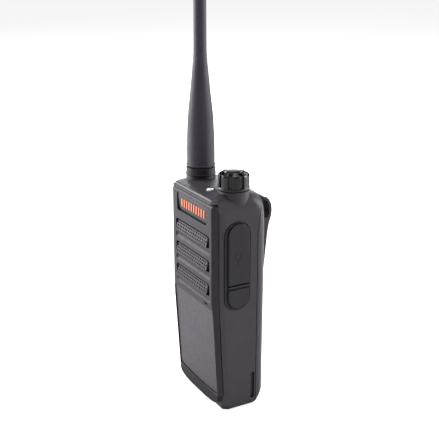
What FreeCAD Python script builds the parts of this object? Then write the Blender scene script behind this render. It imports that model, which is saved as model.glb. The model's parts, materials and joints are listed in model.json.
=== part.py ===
import FreeCAD, Part
import math
import os

# Portable two-way radio with antenna, belt clip and battery pack, in millimetres.
# X runs to the right seen from the front, the front face looks towards -Y and Z is up.
# The origin is at the centre of the base. Each part function writes a file of its own name.

Vector = FreeCAD.Vector
AXES = {"x": Vector(1, 0, 0), "y": Vector(0, 1, 0), "z": Vector(0, 0, 1)}

# ---------------------------------------------------------------- driving dimensions
BODY_WIDTH = 51.0
HALF_WIDTH = BODY_WIDTH / 2
BASE_HALF_WIDTH = 25.0
FRONT, BACK = -16.5, 16.5
TAPER_Z = 68.0                     # below this height the body narrows and the front leans back
FRONT_LEAN = 3.8 / 63.8            # lean of the lower front face, mm per mm
CORNER_FRONT, CORNER_REAR = 3.2, 5.0
TOP_Z = 126.4                      # top surface between the control bosses
ROUND_LEFT, ROUND_RIGHT, ROUND_BACK = 7.0, 9.0, 9.0   # from the top surface into the faces
FOOT_CHAMFER = 1.4                 # lower corners seen from the front

SEAM_GAP = 0.08                    # gap between front cover and housing
SEAM_TOP, SEAM_BASE = -13.3, -9.7  # Y of the joint line above the taper and at the base
SEAM_GROOVE_HALF, SEAM_GROOVE_TOP = 0.28, 117.5
COVER_TOP = 122.1                  # top edge of the front cover
RUBBER_GROOVE_HALF_X = 21.0        # visible groove above the front cover

GRILLE_TOPS = (104.1, 90.5, 76.9)
GRILLE_H = 7.0
GRILLE_X = (-19.2, 20.3)
PLATE_X, PLATE_Z = (-17.4, 17.4), (109.2, 119.9)
PANEL_HALF_X, PANEL_BOTTOM, PANEL_TOP = 22.9, 9.9, 60.2
PANEL_DEPTH, PANEL_LEDGE = 1.45, 2.5   # depth of the recess, height of its sloped ledge
MIC_SLOT_X, MIC_Z, MIC_SLOT_R = (14.6, 17.0), 64.3, 0.55
SPEAKER_Z = 87.0

KNOB = (16.7, 0.3)                 # X, Y of the volume control
KNOB_R, KNOB_BOSS_TOP = 8.6, 127.15
ANTENNA = (-17.1, -1.5)
ANTENNA_BOSS_R, ANTENNA_BOSS_TOP = 8.3, 127.95
LED = (7.6, -8.9)

JACK_Y = -2.25                     # centre line of the accessory sockets
JACKS = ((98.2, 1.76, 3.3, 10.15), (86.3, 1.26, 2.7, 12.15))   # Z, bore R, collar R, bore end X
JACK_COVER_Y, JACK_COVER_Z = (-10.45, 5.9), (61.2, 111.75)
PAD_Y, PAD_Z = (-8.1, 4.9), (62.55, 110.55)   # raised pad of the jack cover
PAD_X, FLANGE_X = 26.5, 25.75
PAD_R, PAD_GAP = 6.1, 0.36
PAD_SPLIT_Z = 75.6                 # top of the fixed lower piece of the pad

KEY_FRAME_Y, KEY_FRAME_Z = (-8.4, 6.0), (54.5, 113.0)
KEY_Y = (-6.2, 3.8)
PTT_Z, KEY_UPPER_Z, KEY_LOWER_Z = (70.0, 98.0), (101.5, 109.5), (58.5, 66.5)
KEYS_Z = (PTT_Z, KEY_UPPER_Z, KEY_LOWER_Z)

CHASSIS_SCREWS = ((-19.5, 12.0), (19.5, 12.0), (-14.5, 93.8), (5.0, 93.8))   # X, Z
POSTS = [(side * 17.0, z) for side in (-1, 1) for z in (24.0, 66.0)]         # X, Z
TERMINALS_X = (-9.0, 0.0, 9.0)
CHARGE_X, CHARGE_Z = 7.0, 17.0

BAY_HALF_X, BAY_Y, BAY_Z = 22.4, 2.6, (3.2, 98.9)
PACK_JOINT = [(10.55, -1.0), (10.55, 104.0), (12.6, 117.2), (17.6, 121.05)]  # Y, Z
CELL_POCKET_X, CELL_POCKET_TOP = 20.9, 97.1

CLIP_HALF_X = 10.0
PIN_Y, PIN_Z, PIN_R = 20.6, 101.5, 1.2
CLIP_SCREW_X, CLIP_SCREW_Z = 3.0, 106.2

THROUGH = (-30, 30)                # span that passes right through the body


# ---------------------------------------------------------------- spans and point lists
def span(half, centre=0):
    return (centre - half, centre + half)


def widen(limits, amount):
    return (limits[0] - amount, limits[1] + amount)


def on_side(limits, side):
    """The X span as given for side 1, mirrored for side -1."""
    return limits if side > 0 else (-limits[1], -limits[0])


def symmetric(right):
    """Closed (x, z) outline from the points of its right half, lowest first."""
    return right + [(-x, z) for x, z in reversed(right)]


# ---------------------------------------------------------------- solids
def face(points):
    return Part.Face(Part.makePolygon(points + [points[0]]))


def lines(points):
    return [Part.makeLine(a, b) for a, b in zip(points, points[1:])]


def box(x, y, z):
    """Box from three (low, high) spans."""
    return Part.makeBox(x[1] - x[0], y[1] - y[0], z[1] - z[0], Vector(x[0], y[0], z[0]))


def cylinder(radius, start, axis, length):
    return Part.makeCylinder(radius, length, Vector(*start), AXES[axis])


def edges_along(shape, axis):
    found = []
    for edge in shape.Edges:
        if len(edge.Vertexes) == 2 and edge.Curve.TypeId == "Part::GeomLine":
            run = edge.Vertexes[1].Point - edge.Vertexes[0].Point
            if run.Length > 1e-6 and run.normalize().cross(AXES[axis]).Length < 1e-6:
                found.append(edge)
    return found


def rounded_box(x, y, z, radius, axis, pick=None):
    """Box with its edges along the axis rounded; pick selects by edge centre."""
    block = box(x, y, z)
    edges = edges_along(block, axis)
    if pick:
        edges = [edge for edge in edges if pick(edge.CenterOfMass)]
    return block.makeFillet(radius, edges)


def prism_yz(points, x):
    start = [Vector(x[0], py, pz) for py, pz in points]
    return face(start).extrude(Vector(x[1] - x[0], 0, 0))


def prism_xz(points, y):
    start = [Vector(px, y[0], pz) for px, pz in points]
    return face(start).extrude(Vector(0, y[1] - y[0], 0))


def turned(points, centre):
    """Solid of revolution about a vertical axis from (radius, z) points."""
    x, y = centre
    profile = face([Vector(x + radius, y, z) for radius, z in points])
    return profile.revolve(Vector(x, y, 0), AXES["z"], 360)


def spline(points):
    curve = Part.BSplineCurve()
    curve.interpolate(points)
    return curve


def fuse(first, *others):
    return first.multiFuse(list(others)).removeSplitter()


def cut(base, *tools):
    return base.cut(list(tools) if len(tools) > 1 else tools[0])


def soften(shape, radius, edges):
    """Small edge round; the sharp edge stays if the round can't be built."""
    for trial in (radius, radius * 0.6):
        # a fillet too large for its neighbouring faces raises an error
        try:
            result = shape.makeFillet(trial, edges)
            same_count = len(result.Solids) == len(shape.Solids)
            if result.isValid() and same_count and result.Volume > 0:
                return result
        except Exception:
            pass
    return shape


def soften_outline(shape, x, radius):
    """Round the outline of the flat face that lies at x."""
    return soften(shape, radius, [edge for edge in shape.Edges
                                  if abs(edge.CenterOfMass.x - x) < 1e-3
                                  and edge.BoundBox.XLength < 1e-3])


def corner_cutter(levels):
    """Wedges that take both pairs of vertical corners off along a ruled facet.

    Levels hold z, the inner (x, y) and the outer (x, y) point of the right facet."""
    sections = []
    for z, (inner_x, inner_y), (outer_x, outer_y) in levels:
        reach_x = 0.4 * (outer_x - inner_x)
        reach_y = 0.4 * (outer_y - inner_y)
        start = Vector(inner_x - reach_x, inner_y - reach_y, z)
        end = Vector(outer_x + reach_x, outer_y + reach_y, z)
        sections.append(Part.makePolygon([start, end, Vector(end.x, start.y, z), start]))
    right = Part.makeLoft(sections, True, True)
    return [right, right.mirror(Vector(0, 0, 0), AXES["x"])]


def cross_screw(x, z, head_y, shank_y, slot_y):
    """Screw along Y with a cross recess in its head."""
    head = cylinder(1.9, (x, head_y[0], z), "y", head_y[1] - head_y[0])
    shank = cylinder(1.0, (x, shank_y[0], z), "y", shank_y[1] - shank_y[0])
    screw = head.fuse(shank).removeSplitter()
    return cut(screw,
               box(span(1.2, x), slot_y, span(0.2, z)),
               box(span(0.2, x), slot_y, span(1.2, z)))


# ---------------------------------------------------------------- outer envelope
STATIONS = [TAPER_Z, 106.0, 110.0, 113.5, 116.0, 117.4, 118.6, 119.7, 120.7, 121.6, 122.5,
            123.3, 124.1, 124.45, 124.8, 125.4, 125.9, 126.22, TOP_Z]
# z, radius of the rear corners
REAR_RADII = [(0, CORNER_REAR), (106, CORNER_REAR), (110, 5.3), (113.5, 5.8), (116, 6.4),
              (118.6, 7.3), (120.7, 7.9), (130, 8.2)]
# z, how far the front face stands back from FRONT
FRONT_SETBACKS = [(0, 0), (122.5, 0), (123.3, 0.9), (124.1, 1.1), (124.45, 1.6), (124.8, 3.0),
                  (125.4, 5.8), (125.9, 8.0), (126.22, 9.2), (126.4, 9.9)]


def front_y(z):
    return FRONT if z >= TAPER_Z else FRONT + (TAPER_Z - z) * FRONT_LEAN


def seam_y(z):
    if z >= TAPER_Z:
        return SEAM_TOP
    return SEAM_TOP + (TAPER_Z - z) * (SEAM_BASE - SEAM_TOP) / TAPER_Z


def half_width(z):
    return BASE_HALF_WIDTH + (HALF_WIDTH - BASE_HALF_WIDTH) * min(z, TAPER_Z) / TAPER_Z


def rounding(z, radius):
    """Inward offset at height z of a round that ends at the top surface."""
    rise = z - (TOP_Z - radius)
    return 0.0 if rise <= 0 else radius - math.sqrt(max(0.0, radius * radius - rise * rise))


def lookup(z, rows):
    """Value at z, linear between (z, value) rows."""
    for (low_z, low), (high_z, high) in zip(rows, rows[1:]):
        if z <= high_z:
            return low + (high - low) * (z - low_z) / (high_z - low_z)
    return rows[-1][1]


def body_outline(z, left, right, front, back, front_r, rear_r):
    """Rounded rectangle at height z."""
    def arc(x, y, radius, start):
        points = [Vector(x + radius * math.cos(math.radians(angle)),
                         y + radius * math.sin(math.radians(angle)), z)
                  for angle in (start, start + 45, start + 90)]
        return Part.Arc(*points).toShape()

    def line(start, end):
        return Part.makeLine(Vector(*start, z), Vector(*end, z))

    return Part.Wire([
        line((left + front_r, front), (right - front_r, front)),
        arc(right - front_r, front + front_r, front_r, -90),
        line((right, front + front_r), (right, back - rear_r)),
        arc(right - rear_r, back - rear_r, rear_r, 0),
        line((right - rear_r, back), (left + rear_r, back)),
        arc(left + rear_r, back - rear_r, rear_r, 90),
        line((left, back - rear_r), (left, front + front_r)),
        arc(left + front_r, front + front_r, front_r, 180)])


def envelope(inset=0.0):
    """Outer form of the closed radio, all faces moved in by the inset."""
    def section(z):
        half = half_width(z)
        return body_outline(z - (inset if z > 100 else 0),
                            -half + rounding(z, ROUND_LEFT) + inset,
                            half - rounding(z, ROUND_RIGHT) - inset,
                            FRONT + lookup(z, FRONT_SETBACKS) + inset,
                            BACK - rounding(z, ROUND_BACK) - inset,
                            CORNER_FRONT, lookup(z, REAR_RADII) - inset)

    base = body_outline(0, -BASE_HALF_WIDTH + inset, BASE_HALF_WIDTH - inset,
                        FRONT + 4.0 + inset, BACK - inset, CORNER_FRONT, CORNER_REAR - inset)
    lower = Part.makeLoft([base, section(TAPER_Z)], True, True)
    upper = Part.makeLoft([section(z) for z in STATIONS], True, True)
    body = lower.fuse(upper)
    side_view = [(-9.0, inset), (-12.75, 2.6 + inset), (-20, 2.6 + inset), (-20, 130),
                 (20, 130), (20, 10 + inset), (16.5, 10 + inset), (9.5, inset)]
    front_view = symmetric([(BASE_HALF_WIDTH - FOOT_CHAMFER, inset),
                            (BASE_HALF_WIDTH, FOOT_CHAMFER + inset),
                            (BASE_HALF_WIDTH + 2, FOOT_CHAMFER + inset),
                            (BASE_HALF_WIDTH + 2, 130)])
    return body.common(prism_yz(side_view, THROUGH)).common(prism_xz(front_view, THROUGH))


BODY = envelope()
BODY_IN_BATTERY_GROOVE = envelope(0.42)   # the inset is the depth of the groove
BODY_IN_SEAM_GROOVE = envelope(0.85)


# ---------------------------------------------------------------- front cover
def make_seam_groove():
    """V-free band along the joint of cover and housing, outside the inset body."""
    levels = (-1, TAPER_Z, SEAM_GROOVE_TOP)
    points = [(seam_y(z) - SEAM_GROOVE_HALF, z) for z in levels]
    points += [(seam_y(z) + SEAM_GROOVE_HALF, z) for z in reversed(levels)]
    return prism_yz(points, THROUGH).cut(BODY_IN_SEAM_GROOVE)


SEAM_GROOVE = make_seam_groove()
# x, z of the left half of the bowed lower edge, from its outer end to the middle
CHIN_BOW = [(-24.95, 11.0), (-24.2, 8.4), (-22.9, 6.2), (-21.0, 4.75), (-18.0, 3.75),
            (-13.0, 3.05), (-7.0, 2.65), (0.0, 2.5)]


def chin_cutter():
    """Everything below the bowed lower edge of the cover."""
    y = -25
    bow = CHIN_BOW + [(-x, z) for x, z in reversed(CHIN_BOW[:-1])]
    surround = [(24.95, 11.0), (30, 22.0), (30, -5), (-30, -5), (-30, 22.0), (-24.95, 11.0)]
    edges = [spline([Vector(x, y, z) for x, z in bow]).toShape()]
    edges += lines([Vector(x, y, z) for x, z in surround])
    return Part.Face(Part.Wire(edges)).extrude(Vector(0, 20, 0))


def grille_valley(opening_top, depth):
    """Shallow round-ended groove below a grille opening."""
    radius = 2.7
    y, z = FRONT - (radius - depth), opening_top - GRILLE_H - 2.4
    left, right = GRILLE_X[0] + 1.6, GRILLE_X[1] - 1.4
    groove = cylinder(radius, (left, y, z), "x", right - left)
    return groove.fuse([Part.makeSphere(radius, Vector(x, y, z)) for x in (left, right)])


def panel_mask(inset):
    """Front outline of the lower panel: bowed lower edge, straight sides."""
    y = -19
    half = PANEL_HALF_X - inset
    bottom, top = PANEL_BOTTOM + inset, 66.0 - inset
    bow = Part.Arc(Vector(-half, y, bottom + 1.2), Vector(0, y, bottom),
                   Vector(half, y, bottom + 1.2)).toShape()
    rest = lines([Vector(half, y, bottom + 1.2), Vector(half, y, top),
                  Vector(-half, y, top), Vector(-half, y, bottom + 1.2)])
    mask = Part.Face(Part.Wire([bow] + rest)).extrude(Vector(0, 14, 0))
    return soften(mask, 1.6, [e for e in edges_along(mask, "y") if e.CenterOfMass.z < 30])


def front_cover():
    profile = [(seam_y(1.3) - SEAM_GAP, 1.3), (-12.75, 2.75), (FRONT, TAPER_Z),
               (FRONT, COVER_TOP), (SEAM_TOP - SEAM_GAP, COVER_TOP),
               (SEAM_TOP - SEAM_GAP, TAPER_Z)]
    cover = prism_yz(profile, span(HALF_WIDTH))
    cover = cover.makeFillet(3.6, [e for e in cover.Edges
                                   if abs(e.CenterOfMass.z - COVER_TOP) < 1e-3
                                   and abs(abs(e.CenterOfMass.x) - HALF_WIDTH) < 1e-3])
    # outline of the upright part of the front face, without the fold at the taper
    rim = [e for e in cover.Edges
           if all(abs(v.Y - FRONT) < 1e-3 for v in e.Vertexes)
           and abs(e.CenterOfMass.z - TAPER_Z) > 0.01]
    cover = cover.makeFillet(2.2, rim)
    # narrower towards the base, like the housing behind it
    taper = [(BASE_HALF_WIDTH, 0), (HALF_WIDTH + 0.03, TAPER_Z), (HALF_WIDTH + 1, 130)]
    foot = [(BASE_HALF_WIDTH - FOOT_CHAMFER, 0), (BASE_HALF_WIDTH, FOOT_CHAMFER),
            (30, FOOT_CHAMFER), (30, 130)]
    for right in (taper, foot):
        cover = cover.common(prism_xz(symmetric(right), (-20, 0)))

    # broad facets from the front face to the joint line; z, x of the inner edge
    facet_rows = ((-1.0, 23.2), (57.0, 23.5), (66.0, 22.6), (TAPER_Z, 22.6), (130.0, 22.6))
    facets = corner_cutter([(z, (x, front_y(z)), (half_width(z) - 0.4, seam_y(z) - 0.5))
                            for z, x in facet_rows])
    cover = cut(cover, chin_cutter(), *facets)
    # trench behind the rim of the top edge
    trench = box(span(20.2), (-14.75, -13.0), (120.75, 124))
    trench = soften(trench, 0.9,
                    [e for e in edges_along(trench, "y") if e.CenterOfMass.z < 122])
    cover = cut(cover, trench)

    name_pocket = rounded_box(PLATE_X, (-18, -15.0), PLATE_Z, 1.8, "y")
    openings = [rounded_box(GRILLE_X, (-18, -12), (top - GRILLE_H, top), 1.5, "y")
                for top in GRILLE_TOPS]
    valleys = [grille_valley(top, depth)
               for top, depth in zip(GRILLE_TOPS, (0.8, 0.8, 0.5))]
    ledge_top, low = PANEL_TOP + PANEL_LEDGE, PANEL_BOTTOM - 1
    recess = prism_yz([(-19, ledge_top + 0.5), (front_y(ledge_top), ledge_top),
                       (front_y(PANEL_TOP) + PANEL_DEPTH, PANEL_TOP),
                       (front_y(low) + PANEL_DEPTH, low), (-19, low)], span(PANEL_HALF_X))
    recess = recess.common(panel_mask(0))
    mic_port = fuse(box(MIC_SLOT_X, (-18, -10), span(MIC_SLOT_R, MIC_Z)),
                    *[cylinder(MIC_SLOT_R, (x, -18, MIC_Z), "y", 8) for x in MIC_SLOT_X])
    return cut(cover, name_pocket, recess, mic_port, SEAM_GROOVE, *openings, *valleys)


def nameplate_mark():
    """Ten slanted bars that fill cut-outs in the nameplate."""
    slab = prism_yz([(-15.55, 111.5), (-15.9, 111.5), (-16.5, 118.5), (-15.9, 118.5)],
                    (-17, 17))
    marks = []
    for i in range(10):
        x = -13.2 + i * 2.85
        bar = prism_xz([(x, 112.2), (x + 1.45, 112.2), (x + 2.35, 117.0), (x + 0.9, 117.0)],
                       (-18, -12))
        marks.append(slab.common(bar))
    return marks


def nameplate():
    """Recessed at its lower edge and nearly flush at its upper edge."""
    bottom, top = PLATE_Z[0] + 0.85, PLATE_Z[1] - 0.25
    plate = prism_yz([(-15.01, bottom), (-15.45, bottom), (-16.3, top), (-15.01, top)],
                     (PLATE_X[0] + 1.0, PLATE_X[1] - 0.25))
    plate = soften(plate, 1.4, edges_along(plate, "y"))
    return cut(plate, *nameplate_mark())


def front_label_panel():
    """Lower front panel; its upper edge follows the sloped ledge of the recess."""
    gap, sunk = 0.12, 0.55         # side clearance, depth of the panel face
    top = PANEL_TOP + (PANEL_DEPTH - sunk) * PANEL_LEDGE / PANEL_DEPTH
    rear = PANEL_DEPTH - 0.02
    panel = prism_yz([(front_y(PANEL_TOP) + rear, PANEL_TOP - 0.08),
                      (front_y(top) + sunk, top - 0.1),
                      (front_y(PANEL_BOTTOM) + sunk, PANEL_BOTTOM - 1),
                      (front_y(PANEL_BOTTOM) + rear, PANEL_BOTTOM - 1)],
                     span(PANEL_HALF_X - gap))
    return panel.common(panel_mask(gap))


def speaker_grille():
    """One moulding: three perforated pads standing through the cover."""
    holes_per_row, row_pitch = 17, 1.7
    first_x, last_x = GRILLE_X[0] + 1.35, GRILLE_X[1] - 4.3
    pitch = (last_x - first_x) / (holes_per_row - 0.5)
    pads, holes = [], []
    for opening_top in GRILLE_TOPS:
        top, bottom = opening_top - 1.45, opening_top - GRILLE_H + 0.15
        pad = prism_yz([(-12.9, bottom), (-16.6, bottom), (-15.6, top), (-12.9, top)],
                       (GRILLE_X[0] + 0.12, GRILLE_X[1] - 3.3))
        pads.append(soften(pad, 1.25, edges_along(pad, "y")))
        for row in range(3):
            z = bottom + 1.0 + row * row_pitch
            stagger = 0.5 if row == 1 else 0.0
            for i in range(holes_per_row):
                x = first_x + (i + stagger) * pitch
                holes.append(cylinder(0.62, (x, -18, z), "y", 3.9))
    # hollows behind the pads
    hollows = [box((-17.4, 15.6), (-14.2, -12), (top - GRILLE_H + 0.95, top - 2.3))
               for top in GRILLE_TOPS]
    grille = fuse(box(span(20.6), (-13.15, -12.45), (67.0, 106.4)), *pads)
    grille = cut(grille, *holes)
    return cut(grille, *hollows)


def dust_screen():
    return rounded_box(span(19.5), (-12.43, -12.2), (68.2, 105.2), 3.0, "y")


# ---------------------------------------------------------------- seal and main housing
def ring_block(grow):
    block = box(span(24.3 + grow), (-20, 0), (4.7 - grow, 123.25 + grow))
    block = block.makeFillet(8.0 + grow, [e for e in edges_along(block, "y")
                                          if e.CenterOfMass.z < 20])
    return block.makeFillet(4.2 + grow, [e for e in edges_along(block, "y")
                                         if e.CenterOfMass.z > 100])


def seal_ring(grow):
    """Ring one millimetre wide behind the joint line, enlarged all round by grow."""
    front, rear, bottom = 0.02 - grow, 1.15 + grow, 2.2
    band = prism_yz([(seam_y(bottom) + front, bottom - grow), (SEAM_TOP + front, TAPER_Z),
                     (SEAM_TOP + front, 130), (SEAM_TOP + rear, 130),
                     (SEAM_TOP + rear, TAPER_Z), (seam_y(bottom) + rear, bottom - grow)],
                    span(26))
    return band.common(ring_block(grow)).cut(ring_block(-1.0 - grow))


def front_seal():
    """Rubber seal between cover and housing; its top run shows above the cover."""
    return seal_ring(0)


def housing_blank():
    """Body without front cover and battery pack, with both control bosses."""
    behind_cover = prism_yz([(seam_y(0), -1), (seam_y(0), 0), (SEAM_TOP, TAPER_Z),
                             (SEAM_TOP, COVER_TOP + 0.12), (-20, COVER_TOP + 0.12),
                             (-20, 135), (30, 135), (30, -1)], THROUGH)
    before_pack = prism_yz([(y - 0.1, z) for y, z in PACK_JOINT]
                           + [(-30, 124.6), (-30, -1)], THROUGH)
    above_pack = prism_yz([(-30, 121.0), (17.6, 121.15), (17.6, 135), (-30, 135)], THROUGH)
    housing = BODY.common(behind_cover).common(fuse(before_pack, above_pack))
    knob_boss = cylinder(KNOB_R - 0.1, (*KNOB, 116), "z", KNOB_BOSS_TOP - 116)
    antenna_boss = turned([(0, 116), (ANTENNA_BOSS_R, 116),
                           (ANTENNA_BOSS_R, ANTENNA_BOSS_TOP - 0.4),
                           (ANTENNA_BOSS_R - 0.4, ANTENNA_BOSS_TOP),
                           (0, ANTENNA_BOSS_TOP)], ANTENNA)
    return fuse(housing, knob_boss, antenna_boss)


def housing_cavities():
    """Inner space, its two rooms below the top surface, and the battery bay."""
    front_roof = [(-23.2, 114.4), (23.2, 114.4), (23.2, 119.0), (21.6, 121.6),
                  (-22.6, 121.6), (-23.2, 121.0)]
    rear_roof = [(-22.3, 114.4), (22.3, 114.4), (22.3, 119.6), (21.4, 121.4),
                 (-21.9, 121.4), (-22.3, 121.0)]
    return [
        box(span(23.2), (-5.2, 1.4), (3.2, 114.5)),
        rounded_box(span(23.2), (-30, -5.0), (5.8, 114.5), 6.9, "y", lambda c: c.z < 20),
        box(span(22.3), (-30, 8.6), (BAY_Z[1] + 1.3, 114.5)),
        prism_xz(front_roof, (-30, 1.4)),
        prism_xz(rear_roof, (1.3, 8.6)),
        box(span(BAY_HALF_X), (BAY_Y, 30), BAY_Z)]


def housing_outer_cuts():
    """Cutters for the grooves and outer edges, grouped in cutting order."""
    seal_top = box(span(RUBBER_GROOVE_HALF_X), (-20, SEAM_TOP + 0.02),
                   (COVER_TOP - 0.1, 123.75))
    seal_top = soften(seal_top, 0.5,
                      [e for e in edges_along(seal_top, "y") if e.CenterOfMass.z > 123])
    seal_ends = [cylinder(0.8, (side * RUBBER_GROOVE_HALF_X, -20, COVER_TOP + 0.85), "y",
                          20 + SEAM_TOP) for side in (-1, 1)]
    edge_break = corner_cutter([(z, (half_width(z) - 0.42, seam_y(z)),
                                 (half_width(z), seam_y(z) + 3.2))
                                for z in (-1.0, TAPER_Z, SEAM_GROOVE_TOP)])
    foot_corners = corner_cutter([(-1.0, (21.2, -9.5), (24.95, -4.0)),
                                  (5.0, (22.9, -9.9), (25.0, -6.8)),
                                  (11.5, (24.6, -10.5), (25.1, -9.6))])
    # y, z around the battery joint line, 0.6 wide on its straight run
    battery_groove = prism_yz([(10.25, -1), (10.25, 104.0), (12.3, 117.2), (17.2, 120.8),
                               (17.9, 121.4), (12.9, 117.0), (10.85, 104.0), (10.85, -1)],
                              THROUGH).cut(BODY_IN_BATTERY_GROOVE)
    return [[seal_ring(0.05)], [seal_top] + seal_ends, [SEAM_GROOVE], [battery_groove],
            edge_break, foot_corners]


def housing_openings():
    """Seats and openings for the parts mounted in the housing."""
    cover_seat = rounded_box((24.2, 27), JACK_COVER_Y, JACK_COVER_Z, 7.9, "x")
    key_seat = rounded_box((-27, -24.4), KEY_FRAME_Y, KEY_FRAME_Z, 5.0, "x")
    top_holes = [cylinder(radius, (*centre, 118), "z", 14)
                 for radius, centre in ((3.46, KNOB), (4.3, ANTENNA), (2.0, LED))]
    latch_pocket = box(span(7.15), (2.0, 10.6), (-1, 2.95))
    jack_hole = rounded_box((22, 27), span(4.1, JACK_Y), (82.0, 102.7), 2.0, "x")
    key_holes = [rounded_box((-27, -22), (-5.5, 1.4), widen(z_span, -0.7), 2.0, "x")
                 for z_span in KEYS_Z]
    # charger guide slots on both sides, next to the battery joint
    guide_slots = [rounded_box(on_side((24.0, 27), side), (7.1, 9.55), (4.3, 20.6), 0.9, "x")
                   for side in (1, -1)]
    screw_holes = [cylinder(1.06, (x, 0, z), "y", 5) for x, z in CHASSIS_SCREWS]
    contact_slots = [box(span(1.8, x), (1.0, 3.0), (14.0, 21.0)) for x in TERMINALS_X]
    return [cover_seat, key_seat, *top_holes, latch_pocket, jack_hole, *key_holes,
            *guide_slots, *screw_holes, *contact_slots]


def main_housing():
    housing = cut(housing_blank(), *housing_cavities())
    for cutters in housing_outer_cuts():
        housing = cut(housing, *cutters)
    housing = cut(housing, *housing_openings())
    # lips below the latch so that it can't fall out
    lips = [box(on_side((5.2, 7.2), side), (2.0, 10.4), (0.0, 0.7)) for side in (-1, 1)]
    return fuse(housing, *lips)


def led_lens():
    lens = turned([(0, 118.2), (1.95, 118.2), (1.95, 126.0), (1.6, 126.3), (0.9, 126.46),
                   (0, 126.5)], LED)
    return lens.fuse(cylinder(2.9, (*LED, 120.2), "z", 1.35)).removeSplitter()


# ---------------------------------------------------------------- chassis and boards
def chassis():
    plate = box(span(22.6), (-0.8, 1.35), (6.0, 97.5))
    # room for the socket block and for the side keys
    plate = cut(plate, box((8.8, 30), (-5, 5), (79.0, 104.0)),
                box((-30, -18.8), (-5, 5), (55.0, 104.0)))
    posts = [cylinder(2.2, (x, -3.15, z), "y", 3.0) for x, z in POSTS]
    ribs = [box(span(18), (-2.2, -0.8), (z, z + 1.4)) for z in (34.0, 52.0)]
    return cut(fuse(plate, *posts, *ribs),
               *[cylinder(1.1, (x, -5, z), "y", 10) for x, z in CHASSIS_SCREWS],
               *[box(span(2.2, x), (-5, 5), (13.0, 22.0)) for x in TERMINALS_X])


def chassis_screws():
    return [cross_screw(x, z, head_y=(-2.1, -0.8), shank_y=(-0.8, 2.5), slot_y=(-2.2, -1.6))
            for x, z in CHASSIS_SCREWS]


def main_board():
    # clearances for sockets, side keys, volume switch and antenna socket
    clearances = [box((8.8, 30), (-8, 0), (79.0, 104.0)),
                  box((-30, -21.1), (-8, 0), (55.0, 113.0)),
                  box((8.8, 30), (-8, 8), (109.0, 130.0)),
                  box((-30, -10.5), (-8, 8), (112.5, 130.0))]
    return cut(box(span(21.8), (-4.6, -3.2), (6.2, 118.0)), *clearances,
               *[cylinder(1.2, (x, -8, z), "y", 8) for x, z in POSTS],
               *[cylinder(2.2, (x, -8, z), "y", 8) for x, z in CHASSIS_SCREWS])


def rf_shield():
    """Can with 0.4 walls, open towards the board."""
    return cut(box((-14.5, 8.5), (-7.4, -4.62), (28.0, 60.0)),
               box((-14.1, 8.1), (-7.0, -4.0), (28.4, 59.6)))


def board_chips():
    # x span, front y, z span
    chips = (((-12, -4), -5.9, (44, 52)), ((-1, 5), -5.6, (46, 52)),
             ((-10, -2), -5.8, (31, 39)), ((2, 6), -5.5, (32, 38)))
    return [box(x, (front, -4.62), z) for x, front, z in chips]


# ---------------------------------------------------------------- speaker and microphone
def speaker_disc(radius, y, length):
    return cylinder(radius, (0, y, SPEAKER_Z), "y", length)


def speaker_cone_solid(front_r, rear_r, y, length):
    return Part.makeCone(front_r, rear_r, length, Vector(0, y, SPEAKER_Z), AXES["y"])


def speaker_frame():
    rim = cut(speaker_disc(18.0, -12.15, 1.2), speaker_disc(16.4, -12.3, 3))
    basket = cut(speaker_cone_solid(18.0, 9.0, -10.95, 2.6),
                 speaker_cone_solid(16.6, 7.6, -11.0, 2.7))
    magnet_ring = cut(speaker_disc(9.0, -8.35, 0.8), speaker_disc(6.55, -8.5, 2))
    return fuse(rim, basket, magnet_ring)


def speaker_cone():
    # radius, y
    profile = [(0, -9.9), (4.2, -9.3), (12.6, -11.2), (14.6, -11.7), (16.3, -11.2),
               (16.3, -10.95), (14.6, -11.45), (12.6, -10.95), (4.2, -9.05), (0, -9.65)]
    section = face([Vector(radius, y, SPEAKER_Z) for radius, y in profile])
    return section.revolve(Vector(0, 0, SPEAKER_Z), AXES["y"], 360)


def speaker_magnet():
    return speaker_disc(6.5, -8.55, 3.4)


def microphone():
    x = sum(MIC_SLOT_X) / 2
    return [cut(cylinder(2.4, (x, -12.9, MIC_Z), "y", 1.6),
                cylinder(0.6, (x, -13.0, MIC_Z), "y", 0.7))]


# ---------------------------------------------------------------- accessory sockets
def accessory_jacks():
    block = box((9.4, 23.1), (-5.1, 1.2), (81.6, 102.6))
    outer_face = rounded_box((22.2, 24.12), span(3.95, JACK_Y), (82.15, 102.55), 1.85, "x")
    collars = [cylinder(collar_r, (24.0, JACK_Y, z), "x", 0.5)
               for z, bore_r, collar_r, bore_end in JACKS]
    bores = [cylinder(bore_r, (bore_end, JACK_Y, z), "x", 20)
             for z, bore_r, collar_r, bore_end in JACKS]
    return cut(fuse(block, outer_face, *collars), *bores)


def pad_block(x, bottom, grow=0.0):
    """Block with the outline of the raised pad, from the given bottom up."""
    return rounded_box(x, widen(PAD_Y, grow), widen((bottom, PAD_Z[1]), grow),
                       PAD_R + grow, "x")


def jack_cover_base():
    """Flange around the pad, with the fixed lower piece of the pad."""
    flange = rounded_box((24.25, FLANGE_X), widen(JACK_COVER_Y, -0.3),
                         widen(JACK_COVER_Z, -0.3), 7.6, "x")
    flange = soften_outline(flange, FLANGE_X, 0.2)
    pad = soften_outline(pad_block((24.25, PAD_X), PAD_Z[0]), PAD_X, 0.45)
    lower = pad.common(box((20, 30), (-20, 20), (50, PAD_SPLIT_Z)))
    # groove across the lower piece
    lower = cut(lower, box((25.6, 30), (-20, 20), (73.5, 74.4)))
    moat = pad_block((24.95, 30), PAD_Z[0], PAD_GAP).cut(pad_block((24, 31), PAD_Z[0]))
    flap_room = pad_block((23, 30), 50.0, PAD_GAP)
    flap_room = flap_room.common(box((20, 30), (-20, 20), (PAD_SPLIT_Z, 130)))
    return fuse(cut(flange, moat, flap_room, pad), lower)


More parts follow.
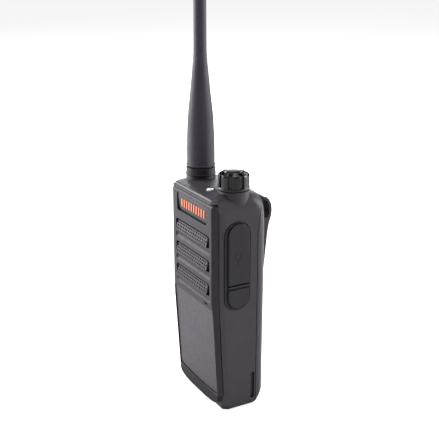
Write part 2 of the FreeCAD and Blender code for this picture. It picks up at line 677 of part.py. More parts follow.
def jack_cover_flap():
    flap = soften_outline(pad_block((24.55, PAD_X), 50.0), PAD_X, 0.45)
    flap = flap.common(box((24.55, 30), (-20, 20), (76.4, 130)))
    # hollow behind the flap that clears the socket collars
    flap = cut(flap, rounded_box((24, 25.5), widen(PAD_Y, -1.2), (79.5, PAD_Z[1] - 1.6),
                                 4.6, "x"))
    # raised ring and bar that mark the accessory sockets
    mark_y, ring_z = -1.6, 93.2
    ring = cylinder(2.3, (26.4, mark_y, ring_z), "x", 0.24)
    ring = ring.cut(cylinder(1.8, (26.3, mark_y, ring_z), "x", 0.5))
    bar = box((26.4, 26.64), span(0.25, mark_y), (87.6, 90.95))
    return fuse(flap, fuse(ring, bar))


# ---------------------------------------------------------------- antenna
TIP_Z, TIP_R, TIP_RISE = 282.0, 3.36, 3.0
# radius, z of the smooth flank of the sheath
SHEATH = [(7.85, 134.3), (7.8, 141.0), (7.72, 147.0), (7.54, 151.0), (7.26, 158.0),
          (6.76, 164.0), (6.15, 169.4), (5.58, 174.9), (5.0, 180.4), (4.42, 185.8),
          (3.84, 191.2), (3.56, 196.5), (3.46, 205.0), (3.42, 240.0), (TIP_R, TIP_Z)]


def antenna_socket():
    return turned([(0, 115.6), (4.2, 115.6), (4.2, 119.8), (4.65, 119.8), (4.65, 121.3),
                   (4.25, 121.3), (4.25, 127.9), (3.2, 127.9), (3.2, 118.0), (0, 118.0)],
                  ANTENNA)


def antenna_collar():
    return turned([(5.3, 128.1), (8.3, 128.1), (8.45, 128.25), (8.45, 128.9), (8.2, 129.1),
                   (8.2, 132.1), (7.9, 132.4), (5.3, 132.4)], ANTENNA)


def antenna_stud():
    return turned([(0, 121.6), (2.8, 121.6), (3.12, 122.0), (3.12, 128.15), (5.2, 128.15),
                   (5.2, 133.4), (3.0, 133.4), (3.0, 140.0), (0, 140.0)], ANTENNA)


def antenna_sheath():
    curve = spline([Vector(radius, 0, z) for radius, z in SHEATH])
    first, last = curve.FirstParameter, curve.LastParameter
    profile = [(0, 132.55), (7.05, 132.55), (7.05, 133.2), (8.0, 133.2), (8.15, 133.35),
               (8.15, 133.95), (8.0, 134.1)]
    for i in range(61):
        point = curve.value(first + (last - first) * i / 60.0)
        profile.append((point.x, point.z))
    for i in range(1, 9):
        angle = math.radians(90.0 * i / 9)
        profile.append((TIP_R * math.cos(angle), TIP_Z + TIP_RISE * math.sin(angle)))
    profile.append((0, TIP_Z + TIP_RISE))
    # radius and length of the bores for the stud flange, stud and element
    bores = [cylinder(radius, (*ANTENNA, 130), "z", length)
             for radius, length in ((5.3, 3.45), (3.05, 10.2), (1.3, 151.0))]
    return cut(turned(profile, ANTENNA), *bores)


def antenna_element():
    return fuse(cylinder(1.2, (*ANTENNA, 140.3), "z", 140.4),
                cylinder(1.25, (*ANTENNA, 140.05), "z", 0.6))


# ---------------------------------------------------------------- on, off and volume control
def volume_switch():
    x, y = KNOB
    switch = fuse(rounded_box(span(5.4, x), span(5.4, y), (111.0, 118.4), 0.8, "z"),
                  cylinder(3.4, (x, y, 118.4), "z", 10.8),
                  cylinder(4.6, (x, y, 118.4), "z", 2.9))
    return cut(switch, cylinder(2.06, (x, y, 113.0), "z", 30))


def switch_nut():
    x, y = KNOB
    bottom, top = KNOB_BOSS_TOP + 0.03, KNOB_BOSS_TOP + 1.65
    corner_r = 9.4 / math.sqrt(3)  # 9.4 across the flats
    corners = [Vector(x + corner_r * math.cos(math.radians(60 * i)),
                      y + corner_r * math.sin(math.radians(60 * i)), bottom)
               for i in range(6)]
    nut = face(corners).extrude(Vector(0, 0, top - bottom))
    return cut(nut, cylinder(3.43, (x, y, 126), "z", 6))


def shaft_flat(offset):
    """Block beside the flat of the shaft, offset from the knob axis in X."""
    x, y = KNOB
    return box((x + offset, x + 4), span(4, y), (131.0, 140))


def knob_shaft():
    return cut(cylinder(2.0, (*KNOB, 113.3), "z", 22.7), shaft_flat(1.2))


def volume_knob():
    bottom, top = 127.45, 138.0
    knob = turned([(0, bottom), (KNOB_R - 0.3, bottom), (KNOB_R, bottom + 0.3),
                   (KNOB_R, bottom + 1.2), (KNOB_R - 0.15, bottom + 1.4),
                   (KNOB_R - 0.25, top - 2.9), (KNOB_R - 0.65, top - 2.15),
                   (5.4, top - 0.75), (5.1, top - 0.25), (4.4, top + 0.02),
                   (3.0, top + 0.27), (1.5, top + 0.4), (0, top + 0.45)], KNOB)
    # eight grip slots, open through the sloped rim
    grip_slots = []
    for i in range(8):
        for slot in (box((KNOB_R - 1.15, KNOB_R + 3), span(1.2), (bottom + 1.7, top + 3)),
                     box((5.45, KNOB_R + 3), span(1.1), (top - 2.1, top + 3))):
            slot.rotate(Vector(0, 0, 0), AXES["z"], 2.5 + 45.0 * i)
            slot.translate(Vector(*KNOB, 0))
            grip_slots.append(slot)
    knob = cut(knob, *grip_slots)
    bore = cylinder(2.02, (*KNOB, 120), "z", 16.1).cut(shaft_flat(1.22))
    return cut(knob, cylinder(6.3, (*KNOB, bottom - 1), "z", 3.1), bore)


# ---------------------------------------------------------------- left side keys
def side_key_frame():
    outer_x = -26.1
    frame = rounded_box((outer_x, -24.45), widen(KEY_FRAME_Y, -0.1),
                        widen(KEY_FRAME_Z, -0.1), 4.9, "x")
    frame = soften_outline(frame, outer_x, 0.5)
    return cut(frame, *[rounded_box((-28, -24), KEY_Y, z_span, 2.6, "x")
                        for z_span in KEYS_Z])


def key(z_span, outer_x, inner_x, crown):
    """A cap that shows in the frame and a narrower stem through the wall."""
    cap = rounded_box((outer_x, inner_x), widen(KEY_Y, -0.15), widen(z_span, -0.15), 2.4, "x")
    cap = soften_outline(cap, outer_x, crown)
    stem = rounded_box((inner_x - 0.3, -23.0), (-5.2, 1.1), widen(z_span, -1.0), 1.8, "x")
    return fuse(cap, stem)


def ptt_button():
    """Push-to-talk key with five ridges."""
    ridges = [rounded_box((-28.0, -27.0), (-4.4, 2.0), (z, z + 1.3), 0.3, "x")
              for z in (78.0, 81.0, 84.0, 87.0, 90.0)]
    return fuse(key(PTT_Z, -27.7, -25.8, 1.0), *ridges)


def side_key_upper():
    return key(KEY_UPPER_Z, -26.9, -25.25, 0.7)


def side_key_lower():
    return key(KEY_LOWER_Z, -26.9, -25.25, 0.7)


def side_key_board():
    return box((-20.4, -19.4), (-3.1, 1.1), (56.0, 112.0))


def key_switches():
    """One switch behind each key; the plunger of the push-to-talk switch is shorter."""
    switches = []
    for z_span, tip_x in zip(KEYS_Z, (-21.35, -22.05, -22.05)):
        z = sum(z_span) / 2
        case = box((-21.2, -20.42), (-2.6, 0.6), span(2.4, z))
        switches.append(fuse(case, cylinder(0.9, (tip_x, -1.0, z), "x", -20.8 - tip_x)))
    return switches


# ---------------------------------------------------------------- battery pack
def battery_rear_case():
    behind_joint = prism_yz([(y + 0.1, z) for y, z in PACK_JOINT] + [(30, 121.0), (30, -1)],
                            THROUGH)
    case = BODY.common(behind_joint)
    case = case.common(box(THROUGH, THROUGH, (-1, 120.2)))
    case = cut(case, box(span(CELL_POCKET_X), (9, 14.9), (9.8, CELL_POCKET_TOP)))
    # holes for the clip bracket screws and the charging contacts
    case = cut(case,
               *[cylinder(1.04, (side * CLIP_SCREW_X, 12.4, CLIP_SCREW_Z), "y", 8)
                 for side in (-1, 1)],
               *[cylinder(2.05, (side * CHARGE_X, 15.7, CHARGE_Z), "y", 3)
                 for side in (-1, 1)])
    # grip grooves low on the back
    return cut(case, *[rounded_box(span(14), (15.95, 18), (z, z + 1.2), 0.5, "y")
                       for z in (24.0, 27.0, 30.0)])


def battery_inner_case():
    tray = cut(box(span(22.15), (3.0, 10.65), (4.15, 98.3)),
               box(span(CELL_POCKET_X), (4.1, 12), (5.3, CELL_POCKET_TOP)))
    tray = cut(tray, *[box(span(2.05, x), (2.5, 3.45), (13.9, 21.1)) for x in TERMINALS_X])
    return soften(tray, 1.2, [e for e in edges_along(tray, "z")
                              if e.CenterOfMass.y < 3.2 and abs(e.CenterOfMass.x) > 20])


def battery_cells():
    return [rounded_box(on_side((0.4, 20.2), side), (4.5, 14.1), (10.2, 88.0), 2.2, "z")
            for side in (-1, 1)]


def battery_board():
    return box(span(18), (5.0, 13.6), (90.2, 91.6))


def battery_terminals():
    return [box(span(2.0, x), (3.0, 3.4), (14.0, 21.0)) for x in TERMINALS_X]


def charge_contacts():
    return [cylinder(2.0, (side * CHARGE_X, 15.75, CHARGE_Z), "y", 0.7) for side in (-1, 1)]


def contact_springs():
    """Bent strips that reach through the housing wall to the battery terminals."""
    profile = [(-2.9, 15.6), (-2.9, 15.2), (1.6, 15.2), (2.85, 17.3), (1.9, 20.0),
               (1.6, 19.8), (2.45, 17.3), (1.4, 15.6)]
    return [prism_yz(profile, span(1.2, x)) for x in TERMINALS_X]


def battery_latch():
    """Release latch in the base, with three grooves on its underside."""
    latch = fuse(box(span(5.05), (4.4, 9.0), (0.15, 2.8)),
                 box(span(7.05), (4.4, 9.0), (0.8, 2.8)),
                 box(span(4.0), (9.0, 10.4), (1.2, 2.6)))
    return cut(latch, *[box(span(3.6), (y, y + 0.5), (0, 0.5)) for y in (5.4, 6.6, 7.8)])


# ---------------------------------------------------------------- belt clip
def pin_hole(radius):
    return cylinder(radius, (-12, PIN_Y, PIN_Z), "x", 24)


def clip_bracket():
    plate = box(span(8.15), (16.52, 18.2), (95.5, 109.0))
    ear_r = 2.9
    ears = []
    for side in (-1, 1):
        x = on_side((6.2, 8.1), side)
        ears.append(fuse(cylinder(ear_r, (x[0], PIN_Y, PIN_Z), "x", x[1] - x[0]),
                         box(x, (17.5, PIN_Y), span(ear_r, PIN_Z))))
    return cut(fuse(plate, *ears), pin_hole(1.23),
               *[cylinder(1.1, (side * CLIP_SCREW_X, 10, CLIP_SCREW_Z), "y", 12)
                 for side in (-1, 1)])


def clip_screws():
    return [cross_screw(side * CLIP_SCREW_X, CLIP_SCREW_Z, head_y=(18.2, 19.4),
                        shank_y=(13.0, 18.2), slot_y=(18.8, 19.6)) for side in (-1, 1)]


def clip_pin():
    return cylinder(PIN_R, (-9.9, PIN_Y, PIN_Z), "x", 19.8)


def clip_spring():
    """Coil around the pin."""
    coil_r, wire_r, left, length = 1.75, 0.35, -4.5, 9.0
    # the sweep along the helix may fail; separate rings then take the place of the coil
    try:
        path = Part.Wire(Part.makeHelix(0.95, length, coil_r).Edges)
        section = Part.Wire(Part.makeCircle(wire_r, Vector(coil_r, 0, 0), AXES["y"]))
        coil = path.makePipeShell([section], True, True)
        coil.rotate(Vector(0, 0, 0), AXES["y"], 90)
        coil.translate(Vector(left, PIN_Y, PIN_Z))
        if coil.isValid() and coil.Volume > 5:
            return [coil]
    except Exception:
        pass
    return [Part.makeTorus(coil_r, wire_r, Vector(left + i * 0.9, PIN_Y, PIN_Z), AXES["x"])
            for i in range(11)]


# y, z of the clip plate: rear surface downwards, then the surface facing the body upwards
CLIP_REAR = [(24.6, 116.3), (26.2, 116.75), (27.3, 115.9), (28.2, 113.6), (28.75, 111.2),
             (28.85, 108.8), (28.4, 105.8), (27.6, 103.4), (26.9, 100.8), (26.3, 96.8),
             (25.7, 91.5), (24.75, 80.5), (23.8, 71.2), (22.7, 60.0), (21.5, 50.0),
             (20.4, 43.6), (19.2, 40.3), (17.9, 39.6)]
CLIP_INNER = [(17.1, 40.4), (17.4, 43.2), (19.2, 50.0), (20.6, 60.0), (21.7, 71.2),
              (22.6, 80.5), (23.5, 91.5), (24.0, 97.0), (24.35, 101.0), (25.2, 103.9),
              (26.7, 106.4), (27.15, 109.0), (27.0, 111.4), (26.3, 113.6), (25.3, 114.9),
              (24.3, 115.2)]


def belt_clip():
    rear, inner = ([Vector(-CLIP_HALF_X, y, z) for y, z in points]
                   for points in (CLIP_REAR, CLIP_INNER))
    outline = Part.Wire([spline(rear).toShape(), Part.makeLine(rear[-1], inner[0]),
                         spline(inner).toShape(), Part.makeLine(inner[-1], rear[0])])
    clip = Part.Face(outline).extrude(Vector(2 * CLIP_HALF_X, 0, 0))
    # the plate narrows a little towards the lower tip, and its corners are cut off
    rear_view = symmetric([(7.0, 38), (8.6, 39.6), (9.4, 60), (CLIP_HALF_X, 90),
                           (CLIP_HALF_X, 113.5), (8.2, 116.4), (7.0, 118)])
    clip = clip.common(prism_xz(rear_view, (10, 35)))
    ear = [(18.6, 99.4), (20.2, 98.2), (24.3, 96.4), (25.4, 100.0), (26.3, 103.4),
           (26.8, 105.5), (18.9, 105.4), (18.4, 104.6)]
    for side in (-1, 1):
        clip = clip.fuse(prism_yz(ear, on_side((8.3, CLIP_HALF_X), side)))
    return cut(clip.removeSplitter(), pin_hole(1.25))


# ---------------------------------------------------------------- write
PARTS = (
    front_cover, nameplate, nameplate_mark, front_label_panel, speaker_grille, dust_screen,
    front_seal, main_housing, led_lens, chassis, chassis_screws, main_board, rf_shield,
    board_chips, speaker_frame, speaker_cone, speaker_magnet, microphone, accessory_jacks,
    jack_cover_base, jack_cover_flap, antenna_socket, antenna_collar, antenna_stud,
    antenna_sheath, antenna_element, volume_switch, switch_nut, knob_shaft, volume_knob,
    side_key_frame, ptt_button, side_key_upper, side_key_lower, side_key_board, key_switches,
    battery_rear_case, battery_inner_case, battery_cells, battery_board, battery_terminals,
    charge_contacts, contact_springs, battery_latch, clip_bracket, clip_screws, clip_pin,
    clip_spring, belt_clip)

os.makedirs("parts", exist_ok=True)
for build in PARTS:
    shape = build()
    if isinstance(shape, list):
        shape = Part.makeCompound(shape)
    shape.exportStep("parts/%s.step" % build.__name__)
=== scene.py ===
"""Handheld device with an antenna, a knob, keys, a battery and a clip.

It stands upright on the floor at z = 0, with its front cover facing -Y. The CAD pieces keep
their shape; this script gives them procedural materials and sets up the studio.
Scene lengths are in metres. Lengths given to materials are in millimetres.
"""

import bpy
import json
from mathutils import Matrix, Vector

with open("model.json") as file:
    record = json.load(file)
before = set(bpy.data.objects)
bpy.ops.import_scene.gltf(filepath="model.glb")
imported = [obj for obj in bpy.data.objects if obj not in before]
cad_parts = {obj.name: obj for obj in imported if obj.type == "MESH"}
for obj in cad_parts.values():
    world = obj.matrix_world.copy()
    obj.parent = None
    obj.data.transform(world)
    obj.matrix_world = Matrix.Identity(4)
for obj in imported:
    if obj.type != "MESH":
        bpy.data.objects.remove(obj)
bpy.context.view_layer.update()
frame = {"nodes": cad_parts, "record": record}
scene = bpy.context.scene

MM_PER_M = 1000.0
WHITE = (1, 1, 1, 1)
MATERIALS = {}


# ------------------------------------------------------------------ colours
def linear(channel):
    """One sRGB channel, 0 to 255, as a linear value."""
    channel = channel / 255.0
    return channel / 12.92 if channel <= 0.04045 else ((channel + 0.055) / 1.055) ** 2.4


def rgb(red, green, blue):
    return (linear(red), linear(green), linear(blue), 1.0)


def scaled(colour, factor):
    """The colour made lighter or darker, with full alpha."""
    return tuple(value * factor for value in colour[:3]) + (1,)


# ------------------------------------------------------------------ material kit
class Kit:
    """Builds one node material around a Principled shader and lists it in MATERIALS."""

    def __init__(self, name):
        self.material = bpy.data.materials.new(name)
        self.material.use_nodes = True
        self.tree = self.material.node_tree
        self.tree.nodes.clear()
        output = self.node("ShaderNodeOutputMaterial")
        self.shader = self.node("ShaderNodeBsdfPrincipled")
        self.feed(output.inputs["Surface"], self.shader.outputs["BSDF"])
        self.position = self.node("ShaderNodeTexCoord").outputs["Object"]
        MATERIALS[name] = self.material

    def feed(self, socket, value):
        """Link an output to the socket, or store a plain value in it."""
        if isinstance(value, bpy.types.NodeSocket):
            self.tree.links.new(value, socket)
        else:
            socket.default_value = value

    def node(self, kind, inputs=None, **settings):
        """Add a node; inputs that are None keep their default."""
        node = self.tree.nodes.new(kind)
        for key, value in settings.items():
            setattr(node, key, value)
        for key, value in (inputs or {}).items():
            if value is not None:
                self.feed(node.inputs[key], value)
        return node

    def set(self, name, value):
        """Feed one input of the Principled shader."""
        self.feed(self.shader.inputs[name], value)

    def noise(self, size, detail=3.0, rough=0.55, distortion=0.0):
        return self.node("ShaderNodeTexNoise", {
            "Scale": MM_PER_M / size,
            "Detail": detail,
            "Roughness": rough,
            "Distortion": distortion,
            "Vector": self.position,
        }).outputs["Fac"]

    def voronoi(self, size):
        return self.node("ShaderNodeTexVoronoi", {
            "Scale": MM_PER_M / size,
            "Vector": self.position,
        }).outputs["Distance"]

    def remap(self, value, source=(0.3, 0.7), target=(0.0, 1.0)):
        return self.node("ShaderNodeMapRange", {
            "From Min": source[0],
            "From Max": source[1],
            "To Min": target[0],
            "To Max": target[1],
            "Value": value,
        }).outputs["Result"]

    def math(self, operation, first, second, clamp=False):
        return self.node("ShaderNodeMath", {0: first, 1: second},
                         operation=operation, use_clamp=clamp).outputs["Value"]

    def mix(self, factor, first, second):
        # on a colour mix node, inputs 6 and 7 and output 2 are the colour sockets
        return self.node("ShaderNodeMix", {0: factor, 6: first, 7: second},
                         data_type="RGBA").outputs[2]

    def bump(self, height, depth, strength=1.0, normal=None):
        return self.node("ShaderNodeBump", {
            "Distance": depth / MM_PER_M,
            "Strength": strength,
            "Height": height,
            "Normal": normal,
        }).outputs["Normal"]

    def bevel(self, radius):
        return self.node("ShaderNodeBevel", {"Radius": radius / MM_PER_M},
                         samples=4).outputs["Normal"]

    def occlusion(self, distance):
        return self.node("ShaderNodeAmbientOcclusion", {"Distance": distance / MM_PER_M},
                         samples=6).outputs["AO"]

    def inside(self, low, high, fade):
        """1 inside the box from low to high, 0 outside; the mask falls off over the top
        `fade` mm. A bound of None leaves that side open."""
        axes = self.node("ShaderNodeSeparateXYZ", {0: self.position}).outputs
        mask = None
        for axis in range(3):
            for bound, operation in ((low[axis], "GREATER_THAN"), (high[axis], "LESS_THAN")):
                if bound is None:
                    continue
                if fade and axis == 2 and operation == "LESS_THAN":
                    side = self.remap(axes[axis],
                                      source=((bound - fade) / MM_PER_M, bound / MM_PER_M),
                                      target=(1.0, 0.0))
                else:
                    side = self.math(operation, axes[axis], bound / MM_PER_M)
                mask = side if mask is None else self.math("MULTIPLY", mask, side)
        return mask

    def edge_mask(self, radius):
        """1 on convex and concave edges, 0 on flat areas."""
        facing = self.node("ShaderNodeVectorMath", {
            0: self.bevel(radius),
            1: self.node("ShaderNodeNewGeometry").outputs["Normal"],
        }, operation="DOT_PRODUCT").outputs["Value"]
        return self.remap(facing, source=(0.985, 0.86))


# ------------------------------------------------------------------ material families
# colours of the painted shade in crevices and in the shade boxes
CREVICE_SHADE_COLOUR = (0.0015, 0.0013, 0.0018, 1)
SHADE_COLOUR = (0.0012, 0.0010, 0.0015, 1)


def plastic(name, colour, rough=0.55, spec=0.5, grain_size=0.35, grain_depth=0.012,
            drift=0.10, wear_and_highlight=0.35, crevice_shade=0.75, soft=0.22, coat=0.0, edge=0.35, shade=()):
    """Moulded plastic or rubber, from an sRGB colour.

    grain_size, grain_depth: the spark-eroded surface grain
    drift: how far the colour wanders either way, as a fraction
    wear_and_highlight, crevice_shade: strength of the lighter edges, partly rubbed wear and
    partly painted highlight, and of the painted crevice shade
    soft: radius of the shaded edge rounding; edge: width of the lighter edges, rubbed wear and
    painted highlight
    shade: boxes to darken, each with the share of the look it keeps
    """
    kit = Kit(name)
    base = rgb(*colour)

    # slow colour drift with fine lighter mottling
    slow = kit.noise(size=17.0)
    fine = kit.noise(size=1.1, detail=4.0)
    look = kit.mix(kit.remap(slow), scaled(base, 1 - drift), scaled(base, 1 + drift))
    look = kit.mix(kit.remap(fine, source=(0.35, 0.65), target=(0.0, 0.22)),
                   look, scaled(base, factor=1.5))

    # brighter edges, partly rubbed wear and partly a painted highlight along the rounded edges,
    # broken up by noise
    edges = kit.edge_mask(edge)
    patches = kit.remap(kit.noise(size=4.0, detail=4.0), source=(0.40, 0.62), target=(0.15, 1.0))
    rub_and_highlight = kit.math("MULTIPLY", edges, patches)
    rub_and_highlight = kit.math("MULTIPLY", rub_and_highlight, wear_and_highlight, clamp=True)
    gain, lift = 2.6, 0.012  # a lighter edge, rubbed wear and painted highlight, is the base colour times gain, plus lift
    look = kit.mix(rub_and_highlight, look, tuple(min(1.0, value * gain + lift) for value in base[:3]) + (1,))

    # painted shade: crevices darkened from ambient occlusion, then the shaded boxes
    dark = kit.remap(kit.occlusion(distance=3.2), source=(0.36, 0.86), target=(crevice_shade, 0.0))
    look = kit.mix(dark, look, CREVICE_SHADE_COLOUR)
    for box in shade:
        mask = kit.math("MULTIPLY", kit.inside(box["low"], box["high"], box["fade"]),
                        1.0 - box["keep"])
        look = kit.mix(mask, look, SHADE_COLOUR)
        spec = kit.math("MULTIPLY", kit.math("SUBTRACT", 1.0, mask), spec)
    kit.set("Base Color", look)
    kit.set("Specular IOR Level", spec)

    # uneven roughness, with smoother scuffed patches
    scuffs = kit.remap(kit.noise(size=9.0, detail=6.0, rough=0.7, distortion=0.6),
                       source=(0.56, 0.72), target=(0.0, 0.5))
    uneven = kit.remap(kit.noise(size=2.6), target=(rough - 0.05, rough + 0.05))
    scuff_gain = -0.10  # roughness added by a full scuff
    kit.set("Roughness", kit.math("ADD", uneven, kit.math("MULTIPLY", scuffs, scuff_gain),
                                  clamp=True))
    kit.set("Coat Weight", coat)

    # moulded grain over softened edges; its noise is a little finer than its cells
    grain = kit.math("ADD", kit.voronoi(grain_size),
                     kit.noise(size=grain_size * 0.7, detail=2.0))
    kit.set("Normal", kit.bump(grain, grain_depth, normal=kit.bevel(soft)))


def metal(name, base, rough):
    """Bare metal from a linear colour, with fine noise in its roughness and relief."""
    kit = Kit(name)
    kit.set("Metallic", 1.0)
    fine = kit.noise(size=0.5, detail=5.0)
    tarnish = kit.remap(kit.noise(size=6.0, detail=4.0), source=(0.35, 0.65))
    kit.set("Base Color", kit.mix(tarnish, scaled(base, factor=0.82), base))
    kit.set("Roughness", kit.remap(fine, target=(rough - 0.08, rough + 0.12)))
    kit.set("Normal", kit.bump(fine, depth=0.01, strength=0.6, normal=kit.bevel(radius=0.12)))


# ------------------------------------------------------------------ plastics and metals
# painted shade in the open gap above the front cover
GAP_HALF_WIDTH = 21.4
GAP = dict(low=(-GAP_HALF_WIDTH, -14.9, 120.5), high=(GAP_HALF_WIDTH, -12.9, 123.85),
           fade=0.0, keep=0.04)
# shade towards the base of the cover
CHIN = dict(low=(None, None, None), high=(None, None, 10.3), fade=1.2, keep=0.50)

plastic("housing_plastic", (41, 37, 45), rough=0.52, grain_size=0.32, grain_depth=0.010,
        crevice_shade=0.95, edge=0.5, wear_and_highlight=0.4, shade=(GAP,))
plastic("cover_plastic", (46, 42, 50), rough=0.56, spec=0.26, grain_size=0.32,
        grain_depth=0.010, crevice_shade=0.95, edge=0.5, wear_and_highlight=0.6, shade=(GAP, CHIN))
plastic("battery_plastic", (52, 47, 56), rough=0.44, grain_size=0.34, grain_depth=0.011,
        crevice_shade=0.95)
plastic("grille_plastic", (48, 44, 52), rough=0.50, spec=0.30, grain_size=0.3,
        grain_depth=0.006, crevice_shade=1.0)
plastic("plate_plastic", (54, 49, 55), rough=0.46, spec=0.34, grain_size=0.28,
        grain_depth=0.005, drift=0.05, wear_and_highlight=0.2, crevice_shade=1.0)
plastic("rubber", (36, 33, 39), rough=0.60, spec=0.32, grain_size=0.5, grain_depth=0.014,
        wear_and_highlight=0.15, soft=0.3, crevice_shade=1.0)
plastic("seal_rubber", (12, 11, 14), rough=0.7, spec=0.2, grain_size=0.4, grain_depth=0.01,
        wear_and_highlight=0.0, crevice_shade=1.0)
plastic("antenna_rubber", (62, 57, 67), rough=0.56, spec=0.28, grain_size=0.45,
        grain_depth=0.010, wear_and_highlight=0.12, soft=0.2)
plastic("knob_plastic", (22, 20, 25), rough=0.30, spec=0.42, grain_size=0.4,
        grain_depth=0.006, wear_and_highlight=0.35, soft=0.35, crevice_shade=1.0)
plastic("key_rubber", (38, 37, 42), rough=0.60, spec=0.35, grain_size=0.5,
        grain_depth=0.012, wear_and_highlight=0.15, soft=0.3)
plastic("clip_plastic", (27, 25, 30), rough=0.40, grain_size=0.5, grain_depth=0.008,
        wear_and_highlight=0.25, soft=0.3, crevice_shade=1.0)
plastic("inner_plastic", (26, 25, 28), rough=0.5, grain_size=0.5, grain_depth=0.01, wear_and_highlight=0.15)
plastic("panel_plastic", (54, 49, 58), rough=0.50, spec=0.46, grain_size=0.7,
        grain_depth=0.022, crevice_shade=0.95)
plastic("mark_orange", (216, 116, 80), rough=0.45, grain_size=0.3, grain_depth=0.004,
        drift=0.06, wear_and_highlight=0.2, crevice_shade=0.35, soft=0.1)
plastic("collar_rubber", (24, 22, 27), rough=0.50, spec=0.35, grain_size=0.45,
        grain_depth=0.010, wear_and_highlight=0.2, soft=0.2, crevice_shade=1.0)

metal("alloy", (0.60, 0.61, 0.63, 1), rough=0.42)
metal("steel", (0.56, 0.56, 0.58, 1), rough=0.26)
metal("brass", (0.72, 0.53, 0.24, 1), rough=0.24)
metal("gold", (0.83, 0.62, 0.26, 1), rough=0.2)
metal("magnet", (0.30, 0.30, 0.31, 1), rough=0.35)

plastic("chip", (24, 24, 25), rough=0.45, grain_size=0.2, grain_depth=0.004)
plastic("paper_cone", (40, 40, 42), rough=0.8, spec=0.2, grain_size=0.6, grain_depth=0.03)
plastic("cell_wrap", (62, 110, 168), rough=0.3, grain_size=1.2, grain_depth=0.01, coat=0.3)


# ------------------------------------------------------------------ single materials
def circuit_board():
    """Green board with a fine brick pattern."""
    kit = Kit("pcb")
    bricks = kit.node("ShaderNodeTexBrick", {
        "Scale": 380.0,
        "Mortar Size": 0.04,
        "Color1": (0.010, 0.13, 0.05, 1),
        "Color2": (0.012, 0.17, 0.06, 1),
        "Mortar": (0.05, 0.30, 0.12, 1),
        "Vector": kit.position,
    })
    kit.set("Base Color", bricks.outputs["Color"])
    kit.set("Roughness", kit.remap(kit.noise(size=2.0), target=(0.25, 0.4)))
    kit.set("Normal", kit.bump(bricks.outputs["Fac"], depth=0.02, strength=0.4))


def screen_fabric():
    """Black cloth woven from two crossed waves."""
    kit = Kit("screen_fabric")
    threads = [
        kit.node("ShaderNodeTexWave",
                 {"Scale": 1400.0, "Distortion": 0.6, "Vector": kit.position},
                 bands_direction=direction).outputs["Fac"]
        for direction in ("X", "Z")
    ]
    weave = kit.math("MULTIPLY", *threads)
    kit.set("Base Color", kit.mix(weave, (0.003, 0.003, 0.004, 1), (0.03, 0.03, 0.033, 1)))
    kit.set("Roughness", 0.85)
    kit.set("Sheen Weight", 0.2)
    kit.set("Normal", kit.bump(weave, depth=0.05, strength=0.8))


def lens():
    """Milky white lens."""
    kit = Kit("lens")
    kit.set("Base Color", kit.mix(kit.remap(kit.noise(size=1.2)),
                                  rgb(236, 236, 238), rgb(250, 250, 252)))
    kit.set("Subsurface Weight", 0.5)
    kit.set("Subsurface Radius", (1, 1, 1))
    kit.set("Subsurface Scale", 0.0015)
    kit.set("Roughness", 0.12)
    kit.set("Coat Weight", 0.4)
    kit.set("Normal", kit.bump(kit.noise(size=0.9, detail=2.0), depth=0.01, strength=0.4,
                               normal=kit.bevel(radius=0.2)))


circuit_board()
screen_fabric()
lens()

# each piece wears the material its record names, except the antenna collar
piece_material = {part["node"]: part["material_slot"] for part in frame["record"]["subparts"]}
piece_material["antenna_collar"] = "collar_rubber"
for name, piece in frame["nodes"].items():
    piece.data.materials.clear()
    piece.data.materials.append(MATERIALS[piece_material[name]])


# ------------------------------------------------------------------ camera
def place(thing, location, target):
    """Put a camera or light at location, looking at target."""
    thing.location = location
    thing.rotation_mode = "QUATERNION"
    thing.rotation_quaternion = (Vector(target) - Vector(location)).to_track_quat("-Z", "Y")
    scene.collection.objects.link(thing)


camera_data = bpy.data.cameras.new("camera")
camera_data.sensor_width = 36.0
camera_data.lens = 69.81
camera_data.clip_start = 0.01
camera_data.clip_end = 60.0
camera = bpy.data.objects.new("camera", camera_data)
place(camera, location=(0.39294, -0.21652, 0.252365), target=(0.000413, 0.000747, 0.105379))
scene.camera = camera

# ------------------------------------------------------------------ floor
FLOOR_HALF = 20
FLOOR_DROP = 0.00002  # keeps the floor just clear of the device's base


def floor_material():
    """Near-white floor that glows more to the camera than to the scene."""
    kit = Kit("floor")
    kit.set("Base Color", kit.mix(kit.remap(kit.noise(size=900.0)),
                                  (0.80, 0.80, 0.80, 1), (0.83, 0.83, 0.83, 1)))
    kit.set("Roughness", 0.9)
    kit.set("Specular IOR Level", 0.1)
    kit.set("Emission Color", WHITE)
    camera_ray = kit.node("ShaderNodeLightPath").outputs["Is Camera Ray"]
    kit.set("Emission Strength", kit.remap(camera_ray, source=(0.0, 1.0), target=(0.10, 0.72)))
    return kit.material


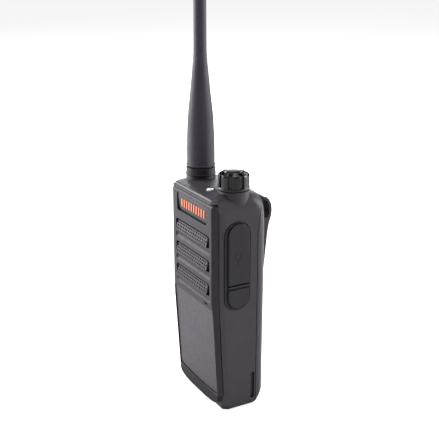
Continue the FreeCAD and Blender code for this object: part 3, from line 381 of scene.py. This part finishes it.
floor_mesh = bpy.data.meshes.new("floor")
floor_corners = [(x * FLOOR_HALF, y * FLOOR_HALF, 0)
                 for x, y in ((-1, -1), (1, -1), (1, 1), (-1, 1))]
floor_mesh.from_pydata(floor_corners, [], [(0, 1, 2, 3)])
floor = bpy.data.objects.new("floor", floor_mesh)
floor.location.z = -FLOOR_DROP
scene.collection.objects.link(floor)
floor_mesh.materials.append(floor_material())

# ------------------------------------------------------------------ world
WORLD_LIGHT = 0.22  # strength as a light source
WORLD_SEEN = 1.0  # strength as the camera's backdrop

world = bpy.data.worlds.new("studio")
scene.world = world
world.use_nodes = True
tree = world.node_tree
tree.nodes.clear()
output = tree.nodes.new("ShaderNodeOutputWorld")
background = tree.nodes.new("ShaderNodeBackground")
background.inputs["Color"].default_value = WHITE
light_path = tree.nodes.new("ShaderNodeLightPath")
strength = tree.nodes.new("ShaderNodeMapRange")
strength.inputs["To Min"].default_value = WORLD_LIGHT
strength.inputs["To Max"].default_value = WORLD_SEEN
tree.links.new(light_path.outputs["Is Camera Ray"], strength.inputs["Value"])
tree.links.new(strength.outputs["Result"], background.inputs["Strength"])
tree.links.new(background.outputs["Background"], output.inputs["Surface"])


# ------------------------------------------------------------------ lights
def area(name, location, target, size, power):
    data = bpy.data.lights.new(name, "AREA")
    data.shape = "RECTANGLE"
    data.size, data.size_y = size
    data.energy = power
    light = bpy.data.objects.new(name, data)
    place(light, location, target)
    light.visible_camera = False


area("key", location=(-1.05, -0.85, 0.42), target=(0, 0, 0.07), size=(0.7, 0.9), power=30.0)
area("top", location=(-0.10, -0.05, 1.25), target=(0, 0, 0.1), size=(0.8, 0.8), power=8.0)
area("rim", location=(0.38, 1.20, 0.42), target=(0, 0, 0.08), size=(0.5, 0.9), power=18.0)
area("back", location=(-1.0, 0.62, 0.50), target=(0, 0, 0.13), size=(0.9, 0.5), power=9.0)

scene.view_settings.view_transform = "Standard"
scene.view_settings.look = "None"
scene.view_settings.exposure = 0.0
scene.view_settings.gamma = 1.0
